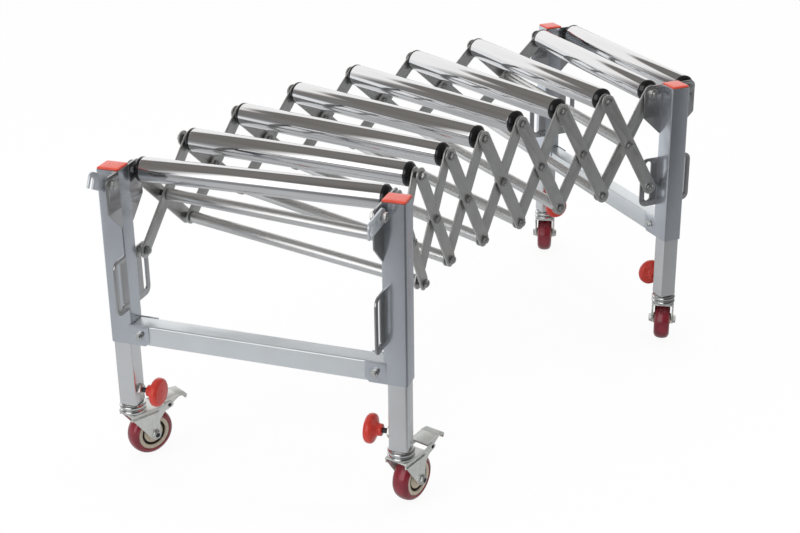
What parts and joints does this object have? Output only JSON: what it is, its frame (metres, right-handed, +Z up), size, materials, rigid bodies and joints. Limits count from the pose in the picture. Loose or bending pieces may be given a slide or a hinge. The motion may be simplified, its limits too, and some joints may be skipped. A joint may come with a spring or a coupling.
{
  "type": "roller stand",
  "caption": "Flexible gravity roller stand on swivel casters: a scissor lattice with free rollers between two end frames with sliding legs.",
  "frame": {"origin": "on the floor, midway between the centres of the two front posts", "axes": "+Z up, +Y from the front frame into the bed, +X to the right seen from the front"},
  "size_m": [0.788, 1.1611, 0.5156],
  "materials": {
    "frame_paint": "glossy light blue-grey paint",
    "leg_paint": "satin silver paint",
    "cap_red": "glossy moulded red",
    "link_steel": "satin grey coating",
    "roller_chrome": "polished plating, black end caps",
    "zinc": "bright zinc plating",
    "knob_red": "glossy moulded red on a steel stud",
    "wheel_pu": "maroon polyurethane on a beige core"
  },
  "bodies": {
    "front_frame": {"front_posts": "frame_paint", "front_leg_tubes": "leg_paint", "front_caps": "cap_red", "front_ears": "frame_paint", "front_slot_plates": "frame_paint", "front_stretcher": "frame_paint", "front_fasteners": "zinc"},
    "rear_frame": {"rear_posts": "frame_paint", "rear_leg_tubes": "leg_paint", "rear_caps": "cap_red", "rear_ears": "frame_paint", "rear_slot_plates": "frame_paint", "rear_stretcher": "frame_paint", "rear_fasteners": "zinc"},
    "link_a1": {"link_a1": "link_steel"},
    "link_b1": {"link_b1": "link_steel"},
    "link_a2": {"link_a2": "link_steel"},
    "link_b2": {"link_b2": "link_steel"},
    "link_a3": {"link_a3": "link_steel"},
    "link_b3": {"link_b3": "link_steel"},
    "link_a4": {"link_a4": "link_steel"},
    "link_b4": {"link_b4": "link_steel"},
    "link_a5": {"link_a5": "link_steel"},
    "link_b5": {"link_b5": "link_steel"},
    "link_a6": {"link_a6": "link_steel"},
    "link_b6": {"link_b6": "link_steel"},
    "link_a7": {"link_a7": "link_steel"},
    "link_b7": {"link_b7": "link_steel"},
    "roller_1": {"roller_1": "roller_chrome"},
    "roller_2": {"roller_2": "roller_chrome"},
    "roller_3": {"roller_3": "roller_chrome"},
    "roller_4": {"roller_4": "roller_chrome"},
    "roller_5": {"roller_5": "roller_chrome"},
    "roller_6": {"roller_6": "roller_chrome"},
    "roller_7": {"roller_7": "roller_chrome"},
    "roller_8": {"roller_8": "roller_chrome"},
    "roller_9": {"roller_9": "roller_chrome"},
    "leg_fl": {"leg_fl": "zinc"},
    "leg_fr": {"leg_fr": "zinc"},
    "leg_rl": {"leg_rl": "zinc"},
    "leg_rr": {"leg_rr": "zinc"},
    "fork_fl": {"fork_fl": "zinc"},
    "fork_fr": {"fork_fr": "zinc"},
    "fork_rl": {"fork_rl": "zinc"},
    "fork_rr": {"fork_rr": "zinc"},
    "wheel_fl": {"wheel_fl": "wheel_pu"},
    "wheel_fr": {"wheel_fr": "wheel_pu"},
    "wheel_rl": {"wheel_rl": "wheel_pu"},
    "wheel_rr": {"wheel_rr": "wheel_pu"},
    "pedal_fl": {"pedal_fl": "zinc"},
    "pedal_fr": {"pedal_fr": "zinc"},
    "pedal_rl": {"pedal_rl": "zinc"},
    "pedal_rr": {"pedal_rr": "zinc"},
    "knob_fl": {"knob_fl": "knob_red"},
    "knob_fr": {"knob_fr": "knob_red"},
    "knob_rl": {"knob_rl": "knob_red"},
    "knob_rr": {"knob_rr": "knob_red"},
    "hook_l": {"hook_l": "zinc"},
    "hook_r": {"hook_r": "zinc"}
  },
  "joints": [
    {"name": "bed_fold", "type": "hinge", "parent": "front_frame", "child": "link_a1", "pos_m": [0, 0.036, 0.4835], "axis": [1, 0, 0], "range_deg": [-16, 0.4]},
    {"name": "cross_pivot_1", "type": "hinge", "parent": "link_a1", "child": "link_b1", "pos_m": [0.00362, 0.0965, 0.40682], "axis": [0.9971, -0.0597, -0.0473], "range_deg": [-0.82, 32.02]},
    {"name": "top_pivot_1", "type": "hinge", "parent": "link_b1", "child": "link_a2", "pos_m": [0.00724, 0.157, 0.4835], "axis": [0.9929, -0.1193, 0], "range_deg": [-32.02, 0.82]},
    {"name": "cross_pivot_2", "type": "hinge", "parent": "link_a2", "child": "link_b2", "pos_m": [0.01805, 0.21664, 0.40682], "axis": [0.9829, -0.1782, -0.0473], "range_deg": [-0.82, 32.02]},
    {"name": "top_pivot_2", "type": "hinge", "parent": "link_b2", "child": "link_a3", "pos_m": [0.02886, 0.27628, 0.4835], "axis": [0.9715, -0.2368, 0], "range_deg": [-32.02, 0.82]},
    {"name": "cross_pivot_3", "type": "hinge", "parent": "link_a3", "child": "link_b3", "pos_m": [0.04671, 0.3342, 0.40682], "axis": [0.9546, -0.2941, -0.0473], "range_deg": [-0.82, 32.02]},
    {"name": "top_pivot_3", "type": "hinge", "parent": "link_b3", "child": "link_a4", "pos_m": [0.06456, 0.39212, 0.4835], "axis": [0.9364, -0.351, 0], "range_deg": [-32.02, 0.82]},
    {"name": "cross_pivot_4", "type": "hinge", "parent": "link_a4", "child": "link_b4", "pos_m": [0.08919, 0.4475, 0.40682], "axis": [0.9127, -0.4059, -0.0473], "range_deg": [-0.82, 32.02]},
    {"name": "top_pivot_4", "type": "hinge", "parent": "link_b4", "child": "link_a5", "pos_m": [0.11381, 0.50288, 0.4835], "axis": [0.8878, -0.4602, 0], "range_deg": [-32.02, 0.82]},
    {"name": "cross_pivot_5", "type": "hinge", "parent": "link_a5", "child": "link_b5", "pos_m": [0.14487, 0.55493, 0.40682], "axis": [0.8578, -0.5118, -0.0473], "range_deg": [-0.82, 32.02]},
    {"name": "top_pivot_5", "type": "hinge", "parent": "link_b5", "child": "link_a6", "pos_m": [0.17593, 0.60698, 0.4835], "axis": [0.8266, -0.5628, 0], "range_deg": [-32.02, 0.82]},
    {"name": "cross_pivot_6", "type": "hinge", "parent": "link_a6", "child": "link_b6", "pos_m": [0.21297, 0.65495, 0.40682], "axis": [0.7906, -0.6105, -0.0473], "range_deg": [-0.82, 32.02]},
    {"name": "top_pivot_6", "type": "hinge", "parent": "link_b6", "child": "link_a7", "pos_m": [0.25001, 0.70292, 0.4835], "axis": [0.7536, -0.6574, 0], "range_deg": [-32.02, 0.82]},
    {"name": "cross_pivot_7", "type": "hinge", "parent": "link_a7", "child": "link_b7", "pos_m": [0.29252, 0.74613, 0.40682], "axis": [0.7121, -0.7004, -0.0473], "range_deg": [-0.82, 32.02]},
    {"name": "rear_pivot", "type": "hinge", "parent": "link_b7", "child": "rear_frame", "pos_m": [0.33502, 0.78934, 0.4835], "axis": [0.6698, -0.7426, 0], "range_deg": [-16.02, 0.42]},
    {"name": "roller_spin_1", "type": "hinge", "parent": "front_frame", "child": "roller_1", "pos_m": [0, 0.036, 0.4835], "axis": [1, 0, 0], "continuous": true},
    {"name": "roller_spin_2", "type": "hinge", "parent": "link_a2", "child": "roller_2", "pos_m": [0.00724, 0.157, 0.4835], "axis": [0.9929, -0.1193, 0], "continuous": true},
    {"name": "roller_spin_3", "type": "hinge", "parent": "link_a3", "child": "roller_3", "pos_m": [0.02886, 0.27628, 0.4835], "axis": [0.9715, -0.2368, 0], "continuous": true},
    {"name": "roller_spin_4", "type": "hinge", "parent": "link_a4", "child": "roller_4", "pos_m": [0.06456, 0.39212, 0.4835], "axis": [0.9364, -0.351, 0], "continuous": true},
    {"name": "roller_spin_5", "type": "hinge", "parent": "link_a5", "child": "roller_5", "pos_m": [0.11381, 0.50288, 0.4835], "axis": [0.8878, -0.4602, 0], "continuous": true},
    {"name": "roller_spin_6", "type": "hinge", "parent": "link_a6", "child": "roller_6", "pos_m": [0.17593, 0.60698, 0.4835], "axis": [0.8266, -0.5628, 0], "continuous": true},
    {"name": "roller_spin_7", "type": "hinge", "parent": "link_a7", "child": "roller_7", "pos_m": [0.25001, 0.70292, 0.4835], "axis": [0.7536, -0.6574, 0], "continuous": true},
    {"name": "roller_spin_8", "type": "hinge", "parent": "rear_frame", "child": "roller_8", "pos_m": [0.33502, 0.78934, 0.4835], "axis": [0.6698, -0.7426, 0], "continuous": true},
    {"name": "roller_spin_9", "type": "hinge", "parent": "rear_frame", "child": "roller_9", "pos_m": [0.38848, 0.83757, 0.4835], "axis": [0.6698, -0.7426, 0], "continuous": true},
    {"name": "leg_slide_fl", "type": "slide", "parent": "front_frame", "child": "leg_fl", "axis": [0, 0, -1], "range_m": [0, 0.2]},
    {"name": "caster_swivel_fl", "type": "hinge", "parent": "leg_fl", "child": "fork_fl", "pos_m": [-0.225, 0, 0.0839], "axis": [0, 0, 1], "continuous": true},
    {"name": "wheel_spin_fl", "type": "hinge", "parent": "fork_fl", "child": "wheel_fl", "pos_m": [-0.212, 0.02252, 0.0375], "axis": [-0.866, 0.5, 0], "continuous": true},
    {"name": "brake_pedal_fl", "type": "hinge", "parent": "fork_fl", "child": "pedal_fl", "pos_m": [-0.1975, 0.04763, 0.0799], "axis": [-0.866, 0.5, 0], "range_deg": [0, 14]},
    {"name": "clamp_knob_fl", "type": "hinge", "parent": "front_frame", "child": "knob_fl", "pos_m": [-0.21, 0, 0.124], "axis": [-1, 0, 0], "range_deg": [-360, 0]},
    {"name": "leg_slide_fr", "type": "slide", "parent": "front_frame", "child": "leg_fr", "axis": [0, 0, -1], "range_m": [0, 0.2]},
    {"name": "caster_swivel_fr", "type": "hinge", "parent": "leg_fr", "child": "fork_fr", "pos_m": [0.225, 0, 0.0839], "axis": [0, 0, 1], "continuous": true},
    {"name": "wheel_spin_fr", "type": "hinge", "parent": "fork_fr", "child": "wheel_fr", "pos_m": [0.2326, 0.02486, 0.0375], "axis": [-0.9563, 0.2924, 0], "continuous": true},
    {"name": "brake_pedal_fr", "type": "hinge", "parent": "fork_fr", "child": "pedal_fr", "pos_m": [0.24108, 0.0526, 0.0799], "axis": [-0.9563, 0.2924, 0], "range_deg": [0, 14]},
    {"name": "clamp_knob_fr", "type": "hinge", "parent": "front_frame", "child": "knob_fr", "pos_m": [0.21, 0, 0.124], "axis": [1, 0, 0], "range_deg": [-360, 0]},
    {"name": "leg_slide_rl", "type": "slide", "parent": "rear_frame", "child": "leg_rl", "axis": [0, 0, -1], "range_m": [0, 0.2]},
    {"name": "caster_swivel_rl", "type": "hinge", "parent": "leg_rl", "child": "fork_rl", "pos_m": [0.21105, 0.98053, 0.0839], "axis": [0, 0, 1], "continuous": true},
    {"name": "wheel_spin_rl", "type": "hinge", "parent": "fork_rl", "child": "wheel_rl", "pos_m": [0.20609, 1.00605, 0.0375], "axis": [-0.9816, -0.1908, 0], "continuous": true},
    {"name": "brake_pedal_rl", "type": "hinge", "parent": "fork_rl", "child": "pedal_rl", "pos_m": [0.20055, 1.03452, 0.0799], "axis": [-0.9816, -0.1908, 0], "range_deg": [0, 14]},
    {"name": "clamp_knob_rl", "type": "hinge", "parent": "rear_frame", "child": "knob_rl", "pos_m": [0.2211, 0.96939, 0.124], "axis": [-0.6698, 0.7426, 0], "range_deg": [-360, 0]},
    {"name": "leg_slide_rr", "type": "slide", "parent": "rear_frame", "child": "leg_rr", "axis": [0, 0, -1], "range_m": [0, 0.2]},
    {"name": "caster_swivel_rr", "type": "hinge", "parent": "leg_rr", "child": "fork_rr", "pos_m": [0.51245, 0.64638, 0.0839], "axis": [0, 0, 1], "continuous": true},
    {"name": "wheel_spin_rr", "type": "hinge", "parent": "fork_rr", "child": "wheel_rr", "pos_m": [0.50928, 0.67219, 0.0375], "axis": [-0.9925, -0.1219, 0], "continuous": true},
    {"name": "brake_pedal_rr", "type": "hinge", "parent": "fork_rr", "child": "pedal_rr", "pos_m": [0.50575, 0.70097, 0.0799], "axis": [-0.9925, -0.1219, 0], "range_deg": [0, 14]},
    {"name": "clamp_knob_rr", "type": "hinge", "parent": "rear_frame", "child": "knob_rr", "pos_m": [0.5024, 0.65752, 0.124], "axis": [0.6698, -0.7426, 0], "range_deg": [-360, 0]},
    {"name": "hook_swing_l", "type": "hinge", "parent": "front_frame", "child": "hook_l", "pos_m": [-0.2133, -0.036, 0.4835], "axis": [-1, 0, 0], "range_deg": [-117, 63]},
    {"name": "hook_swing_r", "type": "hinge", "parent": "front_frame", "child": "hook_r", "pos_m": [0.2133, -0.036, 0.4835], "axis": [-1, 0, 0], "range_deg": [-87, 93]}
  ],
  "couplings": [
    {"joint": "cross_pivot_1", "follows": "bed_fold", "ratio": -2},
    {"joint": "top_pivot_1", "follows": "bed_fold", "ratio": 2},
    {"joint": "cross_pivot_2", "follows": "bed_fold", "ratio": -2},
    {"joint": "top_pivot_2", "follows": "bed_fold", "ratio": 2},
    {"joint": "cross_pivot_3", "follows": "bed_fold", "ratio": -2},
    {"joint": "top_pivot_3", "follows": "bed_fold", "ratio": 2},
    {"joint": "cross_pivot_4", "follows": "bed_fold", "ratio": -2},
    {"joint": "top_pivot_4", "follows": "bed_fold", "ratio": 2},
    {"joint": "cross_pivot_5", "follows": "bed_fold", "ratio": -2},
    {"joint": "top_pivot_5", "follows": "bed_fold", "ratio": 2},
    {"joint": "cross_pivot_6", "follows": "bed_fold", "ratio": -2},
    {"joint": "top_pivot_6", "follows": "bed_fold", "ratio": 2},
    {"joint": "cross_pivot_7", "follows": "bed_fold", "ratio": -2},
    {"joint": "rear_pivot", "follows": "bed_fold", "ratio": 1}
  ]
}
